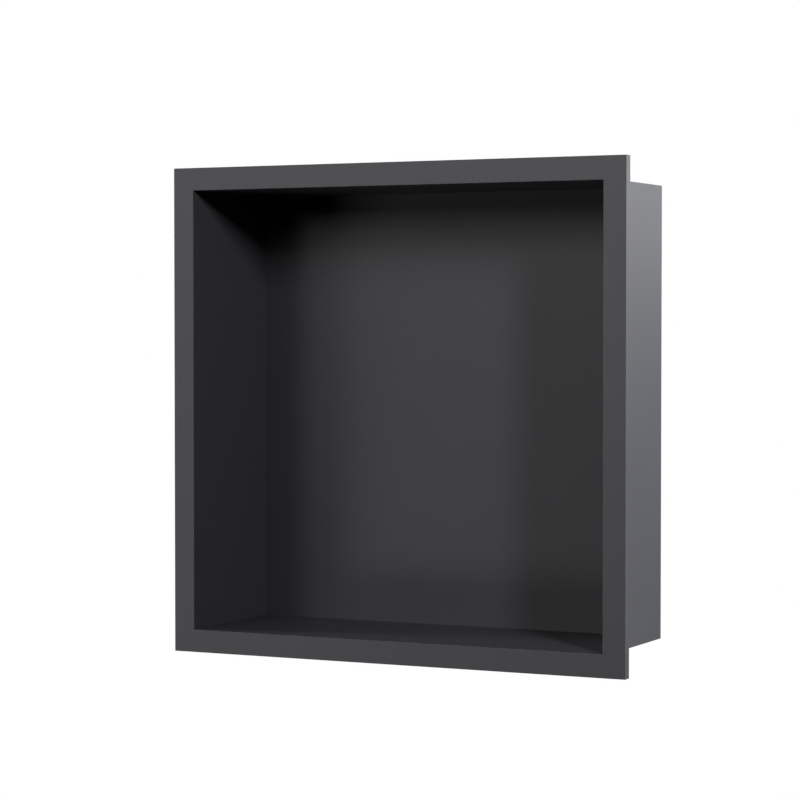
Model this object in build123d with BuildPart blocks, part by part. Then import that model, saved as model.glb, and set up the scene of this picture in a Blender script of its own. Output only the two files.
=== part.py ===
"""Shower niche insert: a coated sheet-metal box let into a wall, with a flat frame round its opening.

The whole niche is one sheet, folded and welded. Units are millimetres. The origin is at the centre of the
opening, on the face of the wall: X runs to the right, Y into the wall and Z up.
"""

import os

from build123d import *

# Clear room inside the niche: wall to wall, and from the frame's face to the back panel
opening_width = 300.0
opening_height = 300.0
recess_depth = 101.0

# Frame round the opening: its width in view, and how far its face stands off the wall
frame_width = 15.5
frame_depth = 6.5

# The sheet, and the round on the outside of its folds, which are grooved first so that they come out crisp
sheet_thickness = 1.2
fold_radius = 0.4

# Centre lines of the sheet in the walls, the frame and the lip, and the back panel's inner face
half_sheet = sheet_thickness / 2
wall_x = opening_width / 2 + half_sheet
wall_z = opening_height / 2 + half_sheet
lip_x = wall_x + frame_width - sheet_thickness
frame_y = half_sheet - frame_depth
back_y = recess_depth - frame_depth

with BuildPart() as niche_shell:
    # Section of the sheet at the right-hand wall: the lip that meets the wall, the frame, the recess's side
    with BuildSketch(Plane.XY):
        with BuildLine():
            Polyline((lip_x, 0), (lip_x, frame_y), (wall_x, frame_y), (wall_x, back_y))
        trace(line_width=sheet_thickness)

    # Taken once round the opening from the middle of that wall, with mitred corners, as they are welded
    with BuildLine(Plane.XZ):
        Polyline(
            (wall_x, 0),
            (wall_x, wall_z),
            (-wall_x, wall_z),
            (-wall_x, -wall_z),
            (wall_x, -wall_z),
            close=True,
        )
    sweep(transition=Transition.RIGHT)

    # Back panel, out to the outer faces of the walls
    with BuildSketch(Plane.XZ.offset(-back_y)):
        Rectangle(opening_width + 2 * sheet_thickness, opening_height + 2 * sheet_thickness)
    extrude(amount=-sheet_thickness)

    # Outer side of every fold and of the corner welds, ground flush. The lip's cut rim stays square
    outer_edges = niche_shell.edges().filter_by(lambda edge: not edge.is_interior)
    cut_rim = outer_edges.filter_by_position(Axis.Y, -half_sheet, half_sheet)
    fillet(outer_edges - cut_rim, radius=fold_radius)

niche_shell.part.label = "niche_shell"

os.makedirs("parts", exist_ok=True)
export_step(niche_shell.part, "parts/niche_shell.step")
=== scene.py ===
"""Shower niche insert: one folded sheet with a matte coat, lit and seen as it is in its photograph.

Metres, in the part's own frame: X to the right, Y into the wall, Z up, origin at the centre of the opening.
"""

import math

import bpy
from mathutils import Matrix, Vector


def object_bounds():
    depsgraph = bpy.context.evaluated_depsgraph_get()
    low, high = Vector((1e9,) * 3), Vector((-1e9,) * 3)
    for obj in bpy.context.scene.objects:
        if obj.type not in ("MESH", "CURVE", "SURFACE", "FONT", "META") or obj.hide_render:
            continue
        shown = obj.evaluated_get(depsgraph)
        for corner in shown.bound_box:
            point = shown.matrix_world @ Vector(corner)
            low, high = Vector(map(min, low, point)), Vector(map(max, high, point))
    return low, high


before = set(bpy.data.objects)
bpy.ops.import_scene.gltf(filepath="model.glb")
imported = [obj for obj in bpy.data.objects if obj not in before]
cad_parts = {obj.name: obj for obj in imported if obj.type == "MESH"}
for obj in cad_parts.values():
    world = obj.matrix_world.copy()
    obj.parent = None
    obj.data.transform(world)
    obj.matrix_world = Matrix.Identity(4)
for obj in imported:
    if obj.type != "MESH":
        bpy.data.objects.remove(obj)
cad_low, cad_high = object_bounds()

# Niche shell: one blank of thin stainless sheet, grooved, folded and welded at its corners, which are
# ground flush. It is powder-coated all over in a matte anthracite, so no bare metal shows, and it is
# bonded into a wall.
coat_dark = (0.0465, 0.0455, 0.052, 1.0)
coat_light = (0.0515, 0.0505, 0.058, 1.0)
coat_ior = 1.5
cloud_size = 0.045
cloud_detail = 3.0
grain_size = 0.0011
grain_detail = 2.0
grain_height = 0.00006
roughness_low = 0.46
roughness_high = 0.56


def powder_coat(name):
    """Cured powder: faint clouds of tone where it lay thicker, and a fine orange peel of uneven gloss."""
    material = bpy.data.materials.new(name)
    material.use_nodes = True
    nodes = material.node_tree.nodes
    link = material.node_tree.links.new
    shader = nodes["Principled BSDF"]
    shader.inputs["Metallic"].default_value = 0.0
    shader.inputs["IOR"].default_value = coat_ior

    place = nodes.new("ShaderNodeTexCoord")

    clouds = nodes.new("ShaderNodeTexNoise")
    clouds.inputs["Scale"].default_value = 1 / cloud_size
    clouds.inputs["Detail"].default_value = cloud_detail
    link(place.outputs["Object"], clouds.inputs["Vector"])

    grain = nodes.new("ShaderNodeTexNoise")
    grain.inputs["Scale"].default_value = 1 / grain_size
    grain.inputs["Detail"].default_value = grain_detail
    link(place.outputs["Object"], grain.inputs["Vector"])

    tone = nodes.new("ShaderNodeMix")
    tone.data_type = "RGBA"
    tone.inputs["A"].default_value = coat_dark
    tone.inputs["B"].default_value = coat_light
    link(clouds.outputs["Fac"], tone.inputs["Factor"])
    link(tone.outputs["Result"], shader.inputs["Base Color"])

    gloss = nodes.new("ShaderNodeMapRange")
    gloss.inputs["To Min"].default_value = roughness_low
    gloss.inputs["To Max"].default_value = roughness_high
    link(grain.outputs["Fac"], gloss.inputs["Value"])
    link(gloss.outputs["Result"], shader.inputs["Roughness"])

    skin = nodes.new("ShaderNodeBump")
    skin.inputs["Distance"].default_value = grain_height
    link(grain.outputs["Fac"], skin.inputs["Height"])
    link(skin.outputs["Normal"], shader.inputs["Normal"])
    return material


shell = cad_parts["niche_shell"]
coat = powder_coat("matte_anthracite_coat")
for slot in shell.material_slots:
    slot.material = coat

# Floor: a wide pale studio floor, a good way below the niche, which hangs at its height on a wall.
# It glows plain white, like the photograph's background, and neither lights the niche nor shows in its coat.
floor_below = 2.0
floor_span = 16.0
plain_black = (0.0, 0.0, 0.0, 1.0)
plain_white = (1.0, 1.0, 1.0, 1.0)

floor_paint = bpy.data.materials.new("studio_white")
floor_paint.use_nodes = True
floor_shader = floor_paint.node_tree.nodes["Principled BSDF"]
floor_shader.inputs["Base Color"].default_value = plain_black
floor_shader.inputs["Emission Color"].default_value = plain_white
floor_shader.inputs["Emission Strength"].default_value = 1.0

bpy.ops.mesh.primitive_plane_add(size=floor_span, location=(0.0, 0.0, -floor_below))
floor = bpy.context.object
floor.name = "studio_floor"
floor.data.materials.append(floor_paint)
floor.visible_diffuse = False
floor.visible_glossy = False

# Studio: white all round for the camera, while the light itself comes from softboxes. The front and left
# ones light the frame and the recess, side_right and rear_right the body's right side, and rear_high and
# rear_low the sides that the photograph doesn't show.
world = bpy.data.worlds.new("white_studio")
world.use_nodes = True
background = world.node_tree.nodes["Background"]
background.inputs["Color"].default_value = plain_white
seen = world.node_tree.nodes.new("ShaderNodeLightPath")
world.node_tree.links.new(seen.outputs["Is Camera Ray"], background.inputs["Strength"])
bpy.context.scene.world = world
bpy.context.scene.view_settings.view_transform = "Standard"

niche_centre = (cad_low + cad_high) / 2


def softbox(name, azimuth, elevation, distance, size, power):
    """A softbox aimed at the niche. Azimuth is to the right of straight in front, in degrees."""
    turn = math.radians(azimuth)
    rise = math.radians(elevation)
    towards = Vector((
        math.sin(turn) * math.cos(rise),
        -math.cos(turn) * math.cos(rise),
        math.sin(rise),
    ))
    width, height = size
    data = bpy.data.lights.new(name, "AREA")
    data.shape = "RECTANGLE"
    data.size = width
    data.size_y = height
    data.energy = power
    lamp = bpy.data.objects.new(name, data)
    lamp.location = niche_centre + distance * towards
    lamp.rotation_mode = "QUATERNION"
    lamp.rotation_quaternion = (-towards).to_track_quat("-Z", "Y")
    lamp.visible_camera = False
    bpy.context.collection.objects.link(lamp)
    return lamp


softbox("front_left", azimuth=-20, elevation=18, distance=2.64, size=(0.4, 0.88), power=5.4)
softbox("broad_left", azimuth=-26, elevation=16, distance=2.89, size=(1.43, 0.8), power=9.9)
softbox("low_left", azimuth=-40, elevation=-20, distance=2.4, size=(0.8, 0.5), power=6.4)
softbox("front_high", azimuth=-8, elevation=24, distance=1.25, size=(0.4, 0.31), power=0.75)
softbox("left_fill", azimuth=-75, elevation=12, distance=2.8, size=(0.54, 0.8), power=43.0)

# Kept out of reflections: its mirror image would burn out the top of the body seen from behind
front_right = softbox("front_right", azimuth=50, elevation=24, distance=1.1, size=(0.12, 0.19), power=6.6)
front_right.visible_glossy = False

# A touch cooler than the others, as the body's side is in the photograph
cool_white = (0.957, 1.0, 0.99)
side_right = softbox("side_right", azimuth=102, elevation=25, distance=1.68, size=(0.26, 0.47), power=53.3)
side_right.data.color = cool_white

softbox("rear_right", azimuth=140, elevation=17.5, distance=0.7, size=(0.21, 0.21), power=0.58)
softbox("rear_high", azimuth=-145, elevation=35, distance=2.0, size=(0.8, 0.8), power=16.0)
softbox("rear_low", azimuth=-150, elevation=-40, distance=2.0, size=(0.8, 0.8), power=20.0)

# Camera: a long lens to the right of the niche and a little above its middle, as in the photograph.
# Its picture isn't shifted, so the niche stays in view from every other side too.
lens_mm = 116.2
sensor_mm = 36.0
camera_place = Vector((0.75529, -1.52663, 0.05885))
camera_aim = Vector((0.007, -0.0065, 0.0093))

camera_data = bpy.data.cameras.new("photograph_camera")
camera_data.lens = lens_mm
camera_data.sensor_width = sensor_mm
camera = bpy.data.objects.new("photograph_camera", camera_data)
camera.location = camera_place
camera.rotation_mode = "QUATERNION"
camera.rotation_quaternion = (camera_aim - camera_place).to_track_quat("-Z", "Y")
bpy.context.collection.objects.link(camera)
bpy.context.scene.camera = camera
